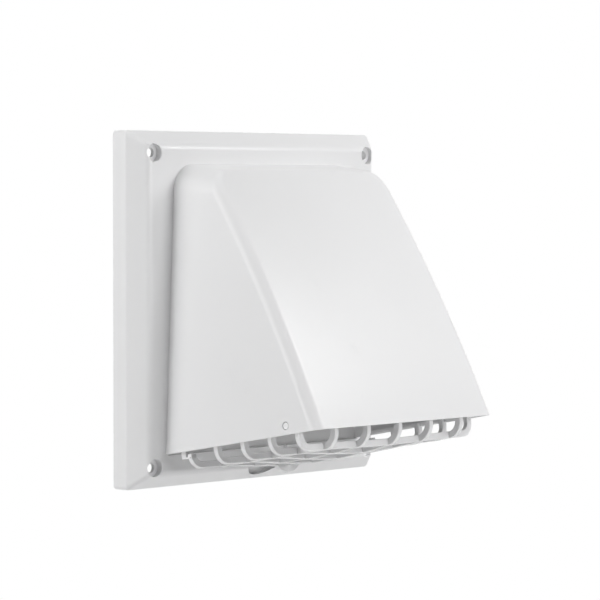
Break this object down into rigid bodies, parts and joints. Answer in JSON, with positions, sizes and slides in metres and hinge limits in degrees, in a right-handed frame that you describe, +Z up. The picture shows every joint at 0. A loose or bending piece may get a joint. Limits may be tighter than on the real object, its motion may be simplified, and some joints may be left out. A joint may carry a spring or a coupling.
{
  "type": "wall vent cap",
  "caption": "Square wall vent cap for a round duct: sloping hood on a bevelled back plate, gravity damper flap over the duct opening and a swing-down basket guard under the mouth.",
  "frame": {"origin": "the duct's axis on the wall plane, which is the back rim of the plate", "axes": "+Z up, +Y into the wall along the duct, -Y out of the wall where the hood faces, +X to the right seen from the front"},
  "size_m": [0.178, 0.1465, 0.178],
  "materials": {
    "hood_plastic": "satin white moulded plastic",
    "collar_plastic": "plain white moulded plastic",
    "flap_plastic": "plain white moulded plastic",
    "guard_plastic": "satin white moulded plastic"
  },
  "bodies": {
    "hood": {"hood_body": "hood_plastic", "duct_collar": "collar_plastic"},
    "damper": {"damper_flap": "flap_plastic"},
    "guard": {"bird_guard": "guard_plastic"}
  },
  "joints": [
    {"name": "damper_hinge", "type": "hinge", "parent": "hood", "child": "damper", "pos_m": [0, -0.0237, 0.056], "axis": [-1, 0, 0], "range_deg": [0, 40]},
    {"name": "guard_hinge", "type": "hinge", "parent": "hood", "child": "guard", "pos_m": [0, -0.09608, -0.05339], "axis": [-1, 0, 0], "range_deg": [0, 75]}
  ]
}
